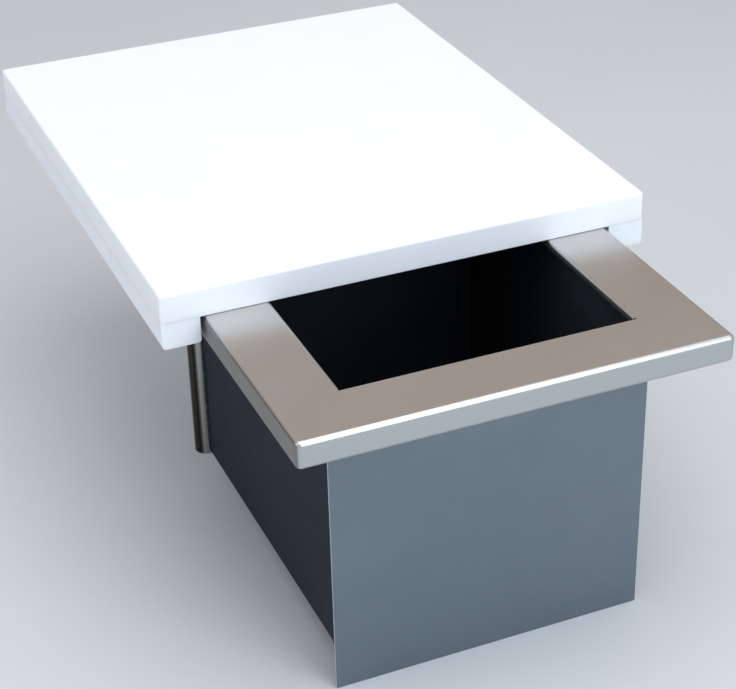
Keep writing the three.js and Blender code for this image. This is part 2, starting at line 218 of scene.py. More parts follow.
def math_node(tree, operation, first, second=None):
    """A Math node; each input is a number or a socket."""
    node = tree.nodes.new("ShaderNodeMath")
    node.operation = operation
    for socket, value in zip(node.inputs, (first, second)):
        if value is None:
            continue
        if isinstance(value, (int, float)):
            socket.default_value = value
        else:
            tree.links.new(value, socket)
    return node.outputs[0]


def ramp_node(tree, value, low, high, to_low=0.0, to_high=1.0):
    """A smooth step from one level to another."""
    node = tree.nodes.new("ShaderNodeMapRange")
    node.interpolation_type = "SMOOTHSTEP"
    tree.links.new(value, node.inputs["Value"])
    node.inputs["From Min"].default_value = low
    node.inputs["From Max"].default_value = high
    node.inputs["To Min"].default_value = to_low
    node.inputs["To Max"].default_value = to_high
    return node.outputs["Result"]


def noise_node(tree, vector, scale, detail=2.0, roughness=0.5):
    node = tree.nodes.new("ShaderNodeTexNoise")
    tree.links.new(vector, node.inputs["Vector"])
    if isinstance(scale, (int, float)):
        node.inputs["Scale"].default_value = scale
    else:
        tree.links.new(scale, node.inputs["Scale"])
    node.inputs["Detail"].default_value = detail
    node.inputs["Roughness"].default_value = roughness
    return node.outputs["Fac"]


print("node helpers ready")

# %% Grain that runs one way


def make_grain():
    """Fine streaks along X. A material turns or swaps the vector to point them elsewhere."""
    group, start, end = new_group(
        "directional_grain",
        [("Vector", "NodeSocketVector", None), ("Fineness", "NodeSocketFloat", 900.0),
         ("Stretch", "NodeSocketFloat", 0.02)],
        [("Fine", "NodeSocketFloat"), ("Broad", "NodeSocketFloat")],
    )
    squeeze = group.nodes.new("ShaderNodeCombineXYZ")
    group.links.new(start.outputs["Stretch"], squeeze.inputs["X"])
    squeeze.inputs["Y"].default_value = 1.0
    squeeze.inputs["Z"].default_value = 1.0
    along = group.nodes.new("ShaderNodeVectorMath")
    along.operation = "MULTIPLY"
    group.links.new(start.outputs["Vector"], along.inputs[0])
    group.links.new(squeeze.outputs[0], along.inputs[1])
    fine = noise_node(group, along.outputs[0], start.outputs["Fineness"], 3.0, 0.6)
    coarse = math_node(group, "MULTIPLY", start.outputs["Fineness"], 0.14)
    broad = noise_node(group, along.outputs[0], coarse, 2.0, 0.5)
    group.links.new(fine, end.inputs["Fine"])
    group.links.new(broad, end.inputs["Broad"])
    return group


GRAIN = make_grain()
print("group:", GRAIN.name)

# %% Smudges from handling, and thin scratches


def make_smudges():
    """Cloudy patches left by hands and cloths: a soft mask from 0 to 1."""
    group, start, end = new_group(
        "handling_smudges",
        [("Vector", "NodeSocketVector", None), ("Scale", "NodeSocketFloat", 9.0)],
        [("Mask", "NodeSocketFloat")],
    )
    cloud = noise_node(group, start.outputs["Vector"], start.outputs["Scale"], 4.0, 0.62)
    group.links.new(ramp_node(group, cloud, 0.38, 0.68), end.inputs["Mask"])
    return group


def make_scratches():
    """Sparse hairlines: a thin band of a stretched, bent noise, kept only in some patches."""
    group, start, end = new_group(
        "hairline_scratches",
        [("Vector", "NodeSocketVector", None), ("Scale", "NodeSocketFloat", 14.0),
         ("Turn", "NodeSocketFloat", 0.6)],
        [("Mask", "NodeSocketFloat")],
    )
    turn = group.nodes.new("ShaderNodeVectorRotate")
    turn.rotation_type = "Z_AXIS"
    group.links.new(start.outputs["Vector"], turn.inputs["Vector"])
    group.links.new(start.outputs["Turn"], turn.inputs["Angle"])
    stretch = group.nodes.new("ShaderNodeVectorMath")
    stretch.operation = "MULTIPLY"
    stretch.inputs[1].default_value = (0.12, 1.6, 0.6)
    group.links.new(turn.outputs[0], stretch.inputs[0])
    lines = noise_node(group, stretch.outputs[0], start.outputs["Scale"], 1.0, 0.4)
    away = math_node(group, "ABSOLUTE", math_node(group, "SUBTRACT", lines, 0.5))
    thin = ramp_node(group, away, 0.0005, 0.0022, 1.0, 0.0)
    patches = noise_node(group, start.outputs["Vector"], 11.0, 2.0, 0.5)
    kept = ramp_node(group, patches, 0.55, 0.66)
    group.links.new(math_node(group, "MULTIPLY", thin, kept), end.inputs["Mask"])
    return group


SMUDGES = make_smudges()
SCRATCHES = make_scratches()
print("groups:", SMUDGES.name, SCRATCHES.name)

# %% [markdown]
# ## Finishes
#
# Each finish starts from a Principled shader. The numbers that are the same all over the surface
# are set on the shader itself, and only what changes over the surface comes through nodes: a little
# colour, more of the roughness, and a height for the Bump node.

# %% What every finish shares


def new_material(name, **constants):
    """A material with its Principled shader, and the constants set on the shader's own sockets."""
    material = bpy.data.materials.new(name)
    material.use_nodes = True
    shader = material.node_tree.nodes["Principled BSDF"]
    for label, value in constants.items():
        shader.inputs[label.replace("_", " ")].default_value = value
    return material, material.node_tree, shader


def place_group(tree, group, vector, **values):
    node = tree.nodes.new("ShaderNodeGroup")
    node.node_tree = group
    tree.links.new(vector, node.inputs["Vector"])
    for label, value in values.items():
        node.inputs[label].default_value = value
    return node


def object_place(tree):
    return tree.nodes.new("ShaderNodeTexCoord").outputs["Object"]


def swapped_place(tree, vector, order):
    """The coordinates in another order, so that streaks along X run along another axis."""
    split = tree.nodes.new("ShaderNodeSeparateXYZ")
    join = tree.nodes.new("ShaderNodeCombineXYZ")
    tree.links.new(vector, split.inputs[0])
    for letter, socket in zip(order, join.inputs):
        tree.links.new(split.outputs[letter], socket)
    return join.outputs[0]


def mix_values(tree, factor, first, second):
    node = tree.nodes.new("ShaderNodeMix")
    node.data_type = "FLOAT"
    for label, value in (("Factor", factor), ("A", first), ("B", second)):
        if isinstance(value, (int, float)):
            node.inputs[label].default_value = value
        else:
            tree.links.new(value, node.inputs[label])
    return node.outputs["Result"]


def mix_colours(tree, factor, first, second):
    node = tree.nodes.new("ShaderNodeMix")
    node.data_type = "RGBA"
    tree.links.new(factor, node.inputs["Factor"])
    for socket, value in ((node.inputs["A"], first), (node.inputs["B"], second)):
        if isinstance(value, tuple):
            socket.default_value = value
        else:
            tree.links.new(value, socket)
    return node.outputs["Result"]


def add_bump(tree, shader, height, depth, strength=1.0):
    bump = tree.nodes.new("ShaderNodeBump")
    bump.inputs["Distance"].default_value = depth
    bump.inputs["Strength"].default_value = strength
    tree.links.new(height, bump.inputs["Height"])
    tree.links.new(bump.outputs["Normal"], shader.inputs["Normal"])


print("finish helpers ready")

# %% [markdown]
# ### The white board
#
# The board is thick polyethylene, the kind that cutting boards are made of. It is waxy, and light
# goes a few millimetres into it, so its edges look softer than they are. A plain white would look
# like paint. Here a little subsurface light does the softening, a cloudy mask changes the tone and
# the gloss very slightly, and sparse hairlines tell that things have been slid over it.

# %% White board
BOARD_CLEAN = (0.90, 0.925, 0.95, 1)
BOARD_CLOUDED = (0.865, 0.895, 0.93, 1)
BOARD_MARKED = (0.80, 0.83, 0.87, 1)
WAX_DEPTH = 6 * MM
PEBBLE_DEPTH = 0.04 * MM


def white_board():
    """Thick polyethylene: waxy, faintly clouded, with a moulded pebble and a few hairlines."""
    material, tree, shader = new_material(
        "white_board", IOR=1.51, Subsurface_Weight=0.35, Subsurface_Radius=(1, 1, 1),
        Subsurface_Scale=WAX_DEPTH,
    )
    place = object_place(tree)
    smudges = place_group(tree, SMUDGES, place, Scale=7.0).outputs["Mask"]
    hairs = place_group(tree, SCRATCHES, place, Scale=9.0, Turn=0.7).outputs["Mask"]
    clouded = mix_colours(tree, smudges, BOARD_CLEAN, BOARD_CLOUDED)
    marked = mix_colours(tree, hairs, clouded, BOARD_MARKED)
    tree.links.new(marked, shader.inputs["Base Color"])
    rough = mix_values(tree, smudges, 0.42, 0.52)
    dull = math_node(tree, "MULTIPLY", hairs, 0.15)
    tree.links.new(math_node(tree, "ADD", rough, dull), shader.inputs["Roughness"])
    pebble = noise_node(tree, place, 1400.0, 2.0, 0.55)
    height = math_node(tree, "SUBTRACT", pebble, math_node(tree, "MULTIPLY", hairs, 0.8))
    add_bump(tree, shader, height, PEBBLE_DEPTH, 0.5)
    return material


BOARD_WHITE = white_board()
print("finish:", BOARD_WHITE.name)

# %% [markdown]
# ### The runners
#
# The runners are bars of the same plastic, cut to length and planed. The planer leaves low waves
# across the bar. They come from the grain group, used coarsely, and show only where light grazes.

# %% Planed runner bars
PLANED_CLEAN = (0.885, 0.912, 0.945, 1)
PLANED_WORN = (0.84, 0.875, 0.92, 1)
PLANER_DEPTH = 0.06 * MM


def white_runner():
    """The same plastic cut from bar: planer marks run across the length."""
    material, tree, shader = new_material(
        "white_runner", IOR=1.51, Subsurface_Weight=0.35, Subsurface_Radius=(1, 1, 1),
        Subsurface_Scale=WAX_DEPTH,
    )
    place = object_place(tree)
    marks = place_group(tree, GRAIN, place, Fineness=420.0, Stretch=0.05)
    smudges = place_group(tree, SMUDGES, place, Scale=16.0).outputs["Mask"]
    colour = mix_colours(tree, smudges, PLANED_CLEAN, PLANED_WORN)
    tree.links.new(colour, shader.inputs["Base Color"])
    tree.links.new(mix_values(tree, marks.outputs["Fine"], 0.40, 0.56), shader.inputs["Roughness"])
    add_bump(tree, shader, marks.outputs["Broad"], PLANER_DEPTH, 0.5)
    return material


RUNNER_WHITE = white_runner()
print("finish:", RUNNER_WHITE.name)

# %% [markdown]
# ### Brushed sheet steel
#
# All the sheet is stainless with a fine brushed face. An anisotropic shader would stretch the
# highlights, but it needs a tangent on every piece. A very fine grain in the roughness and the
# height gives nearly the same look from Object coordinates alone. The streaks are about a quarter
# of a millimetre wide and 15 mm long, so from a distance they only soften the reflections.

# %% Streaks, wiped patches and hairlines
BRUSH_STRETCH = 0.015
BRUSH_DEPTH = 0.008 * MM


def streaks(tree, place, order, fineness):
    along = swapped_place(tree, place, order)
    grain = place_group(tree, GRAIN, along, Fineness=fineness, Stretch=BRUSH_STRETCH)
    return grain.outputs["Fine"], grain.outputs["Broad"]


def brushed(tree, place, fine, light, dark, rough):
    """Colour and roughness of brushed steel that has been wiped and lightly scratched."""
    smudges = place_group(tree, SMUDGES, place, Scale=10.0).outputs["Mask"]
    hairs = place_group(tree, SCRATCHES, place, Scale=16.0, Turn=-0.4).outputs["Mask"]
    streaked = mix_colours(tree, ramp_node(tree, fine, 0.3, 0.7), dark, light)
    shade = tuple(0.90 * channel for channel in dark[:3]) + (1,)
    colour = mix_colours(tree, math_node(tree, "MULTIPLY", smudges, 0.35), streaked, shade)
    satin = mix_values(tree, ramp_node(tree, fine, 0.25, 0.75), rough - 0.025, rough + 0.035)
    satin = math_node(tree, "ADD", satin, math_node(tree, "MULTIPLY", smudges, 0.05))
    satin = math_node(tree, "SUBTRACT", satin, math_node(tree, "MULTIPLY", hairs, 0.02))
    return colour, satin


def finish_metal(tree, shader, colour, satin, fine, broad):
    tree.links.new(colour, shader.inputs["Base Color"])
    tree.links.new(satin, shader.inputs["Roughness"])
    height = math_node(tree, "ADD", fine, math_node(tree, "MULTIPLY", broad, 0.12))
    add_bump(tree, shader, height, BRUSH_DEPTH, 0.2)


def facing_parts(tree):
    """How far the surface looks along X, Y and Z of its own piece."""
    split = tree.nodes.new("ShaderNodeSeparateXYZ")
    tree.links.new(tree.nodes.new("ShaderNodeTexCoord").outputs["Normal"], split.inputs[0])
    return split.outputs


print("steel helpers ready")

# %% [markdown]
# The walls and the hidden sheets use it plainly. The walls' colour is partly a darker, bluer steel
# and partly painted shade for the shadow under the frame and the cover. Their Specular Tint is low,
# a painted shade that keeps them dark where they are seen at a slant.

# %% Walls and hidden sheets


def sheet_steel(name, light, dark, rough, order, fineness, slant=(1, 1, 1, 1)):
    material, tree, shader = new_material(name, Metallic=1.0, Specular_Tint=slant)
    place = object_place(tree)
    fine, broad = streaks(tree, place, order, fineness)
    colour, satin = brushed(tree, place, fine, light, dark, rough)
    finish_metal(tree, shader, colour, satin, fine, broad)
    return material


# Painted shade: the walls' dark colour and low slant tint stand partly for the shadow under the
# frame and cover.
SHADED_WALL_STEEL = sheet_steel(
    "wall_steel", (0.102, 0.108, 0.118, 1), (0.095, 0.101, 0.110, 1), 0.42, "ZXY", 3000.0,
    slant=(0.30, 0.33, 0.36, 1))
HIDDEN_STEEL = sheet_steel(
    "mill_steel", (0.44, 0.44, 0.435, 1), (0.40, 0.40, 0.398, 1), 0.38, "XYZ", 2500.0)
print("finishes:", SHADED_WALL_STEEL.name, HIDDEN_STEEL.name)

# %% [markdown]
# The front panel is cut on a shear, and its cut edges stay bright. A mask of how little the surface
# looks forwards finds them, so they need no material of their own.

# %% Front panel's steel
SHEARED_EDGE = (0.72, 0.74, 0.76, 1)


def panel_steel():
    material, tree, shader = new_material("panel_steel", Metallic=1.0)
    place = object_place(tree)
    fine, broad = streaks(tree, place, "ZXY", 3000.0)
    colour, satin = brushed(
        tree, place, fine, (0.220, 0.262, 0.306, 1), (0.208, 0.248, 0.291, 1), 0.45)
    forwards = math_node(tree, "ABSOLUTE", facing_parts(tree)["Y"])
    cut = ramp_node(tree, forwards, 0.2, 0.5, 1.0, 0.0)
    colour = mix_colours(tree, cut, colour, SHEARED_EDGE)
    finish_metal(tree, shader, colour, satin, fine, broad)
    return material


PANEL_STEEL = panel_steel()
print("finish:", PANEL_STEEL.name)

# %% [markdown]
# The frame is polished along its front and its back, and along its sides once they are folded
# down, so the grain turns there. Folded faces are a little rougher than the top and get a painted
# cooler tint for the bluish floor they reflect. The outer sides are painted darker, a painted shade
# for the dark surroundings that they reflect.

# %% Frame's steel
RIM_INSIDE = 160 * MM
RIM_OUTSIDE = 172 * MM
# Painted reflection and painted shade: a cooler tint on the folded faces, a darker tone on the
# outer sides.
FOLDED_REFLECTION_TINT = (0.82, 0.90, 0.93, 1)
SIDE_SHADE_TONE = 0.39


def frame_steel():
    light, dark = (0.624, 0.604, 0.584, 1), (0.610, 0.590, 0.570, 1)
    material, tree, shader = new_material("frame_steel", Metallic=1.0)
    place = object_place(tree)
    facing = facing_parts(tree)
    sideways = ramp_node(tree, math_node(tree, "ABSOLUTE", facing["X"]), 0.6, 0.8)
    fine, broad = streaks(tree, place, "XYZ", 4200.0)
    side_fine, side_broad = streaks(tree, place, "YXZ", 4200.0)
    fine = mix_values(tree, sideways, fine, side_fine)
    broad = mix_values(tree, sideways, broad, side_broad)
    colour, satin = brushed(tree, place, fine, light, dark, 0.30)
    folded_down = ramp_node(tree, facing["Z"], 0.1, 0.6, 1.0, 0.0)
    satin = math_node(tree, "ADD", satin, math_node(tree, "MULTIPLY", folded_down, 0.07))
    # Painted reflection: folded faces are tinted cooler for the bluish floor they reflect.
    painted_cool_reflection = tuple(c * tone for c, tone in zip(dark, FOLDED_REFLECTION_TINT))
    colour = mix_colours(tree, folded_down, colour, painted_cool_reflection)
    split = tree.nodes.new("ShaderNodeSeparateXYZ")
    tree.links.new(place, split.inputs[0])
    across = math_node(tree, "ABSOLUTE", split.outputs["X"])
    # Painted shade: the outer sides are darkened for the dark surroundings they reflect.
    outer = math_node(tree, "MULTIPLY", sideways, ramp_node(tree, across, RIM_INSIDE, RIM_OUTSIDE))
    painted_side_shade = tuple(SIDE_SHADE_TONE * channel for channel in dark[:3]) + (1,)
    finish_metal(tree, shader, mix_colours(tree, outer, colour, painted_side_shade), satin, fine, broad)
    return material


FRAME_STEEL = frame_steel()
print("finish:", FRAME_STEEL.name)

# %% [markdown]
# ### Drawn tube
#
# The posts are drawn tube. The drawing die leaves long lines, and the skin is browner than sheet.
# On their flanks the colour is a painted shade with a painted olive reflection in it. Its mask is
# how far the surface looks sideways.

# %% Tube steel
TUBE_DARK = (0.34, 0.34, 0.33, 1)
TUBE_BRIGHT = (0.55, 0.54, 0.52, 1)
# Painted shade and painted reflection: the dark olive flank colours stand for the warm, dark
# surroundings the flanks reflect.
FLANK_PAINTED_SHADE = (0.014, 0.013, 0.012, 1)
FLANK_PAINTED_REFLECTION = (0.050, 0.041, 0.028, 1)
DIE_LINE_DEPTH = 0.03 * MM


def drawn_tube():
    """Tube steel, browner than the sheet, with die lines along its length."""
    material, tree, shader = new_material("drawn_tube", Metallic=1.0)
    place = object_place(tree)
    upwards = swapped_place(tree, place, "ZXY")
    lines = place_group(tree, GRAIN, upwards, Fineness=1300.0, Stretch=0.006)
    smudges = place_group(tree, SMUDGES, place, Scale=24.0).outputs["Mask"]
    # Painted shade: flanks that look sideways are darkened, with a painted olive reflection.
    shaded_flank_side = ramp_node(tree, math_node(tree, "ABSOLUTE", facing_parts(tree)["X"]), 0.25, 0.75)
    bright = ramp_node(tree, lines.outputs["Broad"], 0.42, 0.60)
    body = mix_colours(tree, bright, TUBE_DARK, TUBE_BRIGHT)
    shaded_flank = mix_colours(tree, bright, FLANK_PAINTED_SHADE, FLANK_PAINTED_REFLECTION)
    tree.links.new(mix_colours(tree, shaded_flank_side, body, shaded_flank), shader.inputs["Base Color"])
    tree.links.new(mix_values(tree, smudges, 0.22, 0.34), shader.inputs["Roughness"])
    add_bump(tree, shader, lines.outputs["Fine"], DIE_LINE_DEPTH, 0.3)
    return material


TUBE_STEEL = drawn_tube()
print("finish:", TUBE_STEEL.name)

# %% [markdown]
# ### Fasteners
#
# Screws and nuts are bright stainless with turning marks, dulled in patches by handling.

# %% Fastener steel
TURNED_BRIGHT = (0.60, 0.60, 0.585, 1)
TURNED_DULL = (0.44, 0.44, 0.43, 1)
TURNING_DEPTH = 0.02 * MM


def fastener_steel():
    material, tree, shader = new_material("fastener_steel", Metallic=1.0)
    place = object_place(tree)
    marks = place_group(tree, GRAIN, place, Fineness=2600.0, Stretch=0.3)
    dull = place_group(tree, SMUDGES, place, Scale=90.0).outputs["Mask"]
    colour = mix_colours(tree, dull, TURNED_BRIGHT, TURNED_DULL)
    tree.links.new(colour, shader.inputs["Base Color"])
    tree.links.new(mix_values(tree, dull, 0.24, 0.40), shader.inputs["Roughness"])
    add_bump(tree, shader, marks.outputs["Fine"], TURNING_DEPTH, 0.5)
    return material


FASTENER_STEEL = fastener_steel()
print("finish:", FASTENER_STEEL.name)

# %% [markdown]
# ### Black plastic
#
# The liner and the plugs are matt black plastic with a leathery mould texture. Small cells from a
# Voronoi texture give it, and a mask of rubbed places makes them greyer and a little glossier.

# %% Black moulding
MOULDED_BLACK = (0.017, 0.020, 0.024, 1)
RUBBED_BLACK = (0.024, 0.028, 0.033, 1)
CELL_SCALE = 900.0
CELL_DEPTH = 0.06 * MM


def black_moulding():
    material, tree, shader = new_material("black_moulding", Specular_IOR_Level=0.3)
    place = object_place(tree)
    cells = tree.nodes.new("ShaderNodeTexVoronoi")
    cells.inputs["Scale"].default_value = CELL_SCALE
    tree.links.new(place, cells.inputs["Vector"])
    rubbed = place_group(tree, SMUDGES, place, Scale=14.0).outputs["Mask"]
    colour = mix_colours(tree, rubbed, MOULDED_BLACK, RUBBED_BLACK)
    tree.links.new(colour, shader.inputs["Base Color"])
    tree.links.new(mix_values(tree, rubbed, 0.62, 0.50), shader.inputs["Roughness"])
    add_bump(tree, shader, cells.outputs["Distance"], CELL_DEPTH, 0.5)
    return material


BLACK_PLASTIC = black_moulding()
print("finish:", BLACK_PLASTIC.name)

# %% [markdown]
# ### The floor
#
# The floor only has to be pale and quiet: painted, with a faint mottle so that it isn't dead flat.

# %% Floor finish


def pale_floor():
    material, tree, shader = new_material("pale_floor", Specular_IOR_Level=0.2)
    mottle = noise_node(tree, object_place(tree), 3.0, 3.0, 0.5)
    colour = mix_colours(tree, mottle, (0.60, 0.605, 0.61, 1), (0.64, 0.645, 0.65, 1))
    tree.links.new(colour, shader.inputs["Base Color"])
    tree.links.new(mix_values(tree, mottle, 0.75, 0.85), shader.inputs["Roughness"])
    return material


floor.data.materials.append(pale_floor())
print("floor finished")

# %% [markdown]
# ## Putting pieces in place
#
# Every new piece takes its place from the engineering piece it stands for, through that piece's
# box. A sheet-metal piece is drawn as the middle line of its section, pushed along one axis, bent
# by a bevel on its fold lines, and given its thickness by a Solidify modifier. That is how the real
# sheet is made too: one blank, folded.

# %% Helpers for pieces


def shade(shape, angle=35.0):
    """Smooth faces, with every edge sharper than the angle kept crisp."""
    for face in shape.faces:
        face.smooth = True
    for edge in shape.edges:
        if len(edge.link_faces) == 2:
            edge.smooth = edge.calc_face_angle(0) < math.radians(angle)


def add_piece(name, shape, body, node, material):
    """Turns a bmesh into a piece that rides on a body and stands for one engineering piece."""
    shade(shape)
    mesh = bpy.data.meshes.new(name)
    shape.to_mesh(mesh)
    shape.free()
    piece = bpy.data.objects.new(name, mesh)
    bpy.context.scene.collection.objects.link(piece)
    mesh.materials.append(material)
    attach(piece, body)
    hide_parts(node)
    return piece


def give_thickness(piece, thickness, offset=0.0):
    solid = piece.modifiers.new("thickness", "SOLIDIFY")
    solid.thickness = thickness
    solid.offset = offset
    solid.use_even_offset = True
    solid.use_quality_normals = True


def keep_flat(piece):
    """Large faces stay flat in the shading, right up to their eased edges."""
    piece.modifiers.new("flat_faces", "WEIGHTED_NORMAL").keep_sharp = True


def ease_edges(piece, width, segments=2, angle=50.0):
    bevel = piece.modifiers.new("eased_edges", "BEVEL")
    bevel.width = width
    bevel.segments = segments
    bevel.limit_method = "ANGLE"
    bevel.angle_limit = math.radians(angle)
    keep_flat(piece)


def block(low, high):
    """A bmesh box between two corners."""
    shape = bmesh.new()
    bmesh.ops.create_cube(shape, size=1.0)
    low, high = Vector(low), Vector(high)
    bmesh.ops.scale(shape, verts=shape.verts, vec=high - low)
    bmesh.ops.translate(shape, verts=shape.verts, vec=(low + high) / 2)
    return shape


def round_edges(shape, edges, radius, segments):
    bmesh.ops.bevel(
        shape, geom=list(edges), offset=radius, offset_type="OFFSET", affect="EDGES",
        segments=segments, profile=0.5, material=-1, clamp_overlap=True,
    )


print("piece helpers ready")

# %% [markdown]
# ### Cutting holes
#
# A hole is cut by a boolean, which is applied at once so that nothing of the cutter is left. Both
# shapes must be closed, and a cutter's bodies mustn't overlap each other. Where two faces lie in
# one plane a boolean leaves slivers, which are dissolved.

# %% Cutting helpers
SLIVER = 0.002 * MM


def as_object(shape, name="part"):
    mesh = bpy.data.meshes.new(name)
    shape.to_mesh(mesh)
    shape.free()
    thing = bpy.data.objects.new(name, mesh)
    bpy.context.scene.collection.objects.link(thing)
    return thing


def solid_of(thing):
    """The object's shape with its modifiers applied, as a bmesh."""
    bpy.context.view_layer.update()
    graph = bpy.context.evaluated_depsgraph_get()
    done = bpy.data.meshes.new_from_object(thing.evaluated_get(graph))
    shape = bmesh.new()
    shape.from_mesh(done)
    bpy.data.meshes.remove(done)
    return shape


def carve(shape, cutter, operation="DIFFERENCE"):
    """Subtracts one closed shape from another, or joins them."""
    thing, tool = as_object(shape), as_object(cutter)
    cut = thing.modifiers.new("cut", "BOOLEAN")
    cut.operation = operation
    cut.solver = "MANIFOLD"
    cut.object = tool
    result = solid_of(thing)
    bpy.data.objects.remove(tool)
    bpy.data.objects.remove(thing)
    bmesh.ops.dissolve_degenerate(result, edges=result.edges, dist=SLIVER)
    return result


def cut_away(piece, cutter):
    """Cuts a finished piece, and keeps its modifiers' result as its mesh."""
    result = carve(solid_of(piece), cutter)
    piece.modifiers.clear()
    shade(result)
    result.to_mesh(piece.data)
    result.free()


def rods(places, radius, low, high, sides=24):
    """Upright rods at several places, as one bmesh of separate closed bodies."""
    shape = bmesh.new()
    for x, y in places:
        made = bmesh.ops.create_cone(
            shape, cap_ends=True, segments=sides, radius1=radius, radius2=radius, depth=high - low)
        bmesh.ops.translate(shape, verts=made["verts"], vec=(x, y, (low + high) / 2))
    return shape


def turned(profile, sides=32):
    """Spins a chain of (radius, height) points about Z into one closed shape."""
    shape = bmesh.new()
    verts = [shape.verts.new((radius, 0, height)) for radius, height in profile]
    edges = [shape.edges.new(pair) for pair in zip(verts, verts[1:])]
    bmesh.ops.spin(
        shape, geom=verts + edges, cent=(0, 0, 0), axis=(0, 0, 1), angle=math.tau, steps=sides,
        use_merge=True)
    bmesh.ops.remove_doubles(shape, verts=shape.verts, dist=1e-6)
    bmesh.ops.recalc_face_normals(shape, faces=shape.faces)
    return shape


def together(shapes):
    """Several separate closed shapes in one bmesh."""
    result = bmesh.new()
    for shape in shapes:
        mesh = bpy.data.meshes.new("part")
        shape.to_mesh(mesh)
        shape.free()
        result.from_mesh(mesh)
        bpy.data.meshes.remove(mesh)
    return result


def drill(piece, fasteners, radius, low, high):
    """Holes for every fastener whose name starts so, between two heights."""
    middles = [sum(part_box(n), Vector()) / 2 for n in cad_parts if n.startswith(fasteners)]
    cut_away(piece, rods([m.xy for m in middles], radius, low, high))
    keep_flat(piece)


STUD_HOLE = 2.8 * MM
SCREW_HOLE = 2.7 * MM
HANGER_SPAN = (15 * MM, 22 * MM)
FOOT_SPAN = (-215 * MM, -205 * MM)
BASE_SPAN = (-212 * MM, -206 * MM)
print("cutting helpers ready")

# %% [markdown]
# ## Top frame
#
# The frame is one blank of 1.5 mm stainless: a flat face, a rim folded down all round with welded
# and dressed corners, a seat folded inwards under it, and a mouth with its edge turned down. It
# starts as a box whose upright corners and long edges are rounded. The seat and the mouth are cut
# out of the skin, the mouth's border is pushed down for its lip, and the skin gets its thickness on
# the inside, so that the outer size stays the engineering one.

# %% A window in a flat face
LEVEL = 0.9999
WELD = 1e-7


def open_window(shape, up, low, high):
    """Cuts a window in the flat faces that look up (1) or down (-1), and returns its edges."""
    planes = [((x, 0, 0), (1, 0, 0)) for x in (low[0], high[0])]
    planes += [((0, y, 0), (0, 1, 0)) for y in (low[1], high[1])]
    for point, normal in planes:
        shape.normal_update()
        flat = [f for f in shape.faces if f.normal.z * up > LEVEL]
        around = {e for f in flat for e in f.edges} | {v for f in flat for v in f.verts}
        bmesh.ops.bisect_plane(
            shape, geom=flat + list(around), plane_co=point, plane_no=normal, dist=WELD)
    shape.normal_update()
    middle = Vector(((low[0] + high[0]) / 2, (low[1] + high[1]) / 2))
    flat = [f for f in shape.faces if f.normal.z * up > LEVEL]
    pane = min(flat, key=lambda f: (f.calc_center_median().xy - middle).length)
    edges = list(pane.edges)
    bmesh.ops.delete(shape, geom=[pane], context="FACES_ONLY")
    return edges


print("window helper ready")

# %% Shape the frame's skin
SHEET = 1.5 * MM
FRAME_CORNER = 5 * MM
FRAME_FOLD = 4 * MM
SEAT_WIDTH = 14 * MM
MOUTH_LIP = 6 * MM
MOUTH_HALF_WIDTH = 120 * MM
MOUTH_MARGIN = 55.5 * MM
MOUTH_DEPTH = 310 * MM
LIP_ROUND = 3.4 * MM

frame_low, frame_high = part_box("top_frame")
MOUTH_FRONT = frame_low.y + MOUTH_MARGIN
MOUTH_BACK = MOUTH_FRONT + MOUTH_DEPTH


def frame_skin():
    low, high = frame_low, frame_high
    shape = block(low, high)
    upright = [e for e in shape.edges if abs(e.verts[0].co.z - e.verts[1].co.z) > MM]
    round_edges(shape, upright, FRAME_CORNER, 8)
    level = [e for e in shape.edges if abs(e.verts[0].co.z - e.verts[1].co.z) < 1e-6]
    round_edges(shape, level, FRAME_FOLD, 8)
    seat = Vector((SEAT_WIDTH, SEAT_WIDTH, 0))
    open_window(shape, -1, low + seat, high - seat)
    mouth = open_window(
        shape, 1, (-MOUTH_HALF_WIDTH, MOUTH_FRONT), (MOUTH_HALF_WIDTH, MOUTH_BACK))
    lip = bmesh.ops.extrude_edge_only(shape, edges=mouth)["geom"]
    lip_verts = [v for v in lip if isinstance(v, bmesh.types.BMVert)]
    bmesh.ops.translate(shape, verts=lip_verts, vec=(0, 0, -MOUTH_LIP))
    round_edges(shape, [e for e in mouth if e.is_valid], LIP_ROUND, 4)
    bmesh.ops.remove_doubles(shape, verts=shape.verts, dist=WELD)
    bmesh.ops.recalc_face_normals(shape, faces=shape.faces)
    if max(shape.faces, key=lambda f: f.calc_area()).normal.z < 0:
        bmesh.ops.reverse_faces(shape, faces=shape.faces)
    return shape


top_frame = add_piece(
    "top_frame_sheet", frame_skin(), "housing", "top_frame", FRAME_STEEL)
give_thickness(top_frame, SHEET, -1.0)
print("top frame:", len(top_frame.data.polygons), "faces")
print("mouth from", round(MOUTH_FRONT, 4), "to", round(MOUTH_BACK, 4))

# %% [markdown]
# The mouth's lip is folded from four tongues, so each corner has a small round relief hole. The
# seat's four strips meet in open mitres under the corners.

# %% Corner reliefs and mitres
RELIEF_RADIUS = 1.6 * MM
MITRE_GAP = 0.7 * MM
MITRE_INWARDS = 2.5 * MM


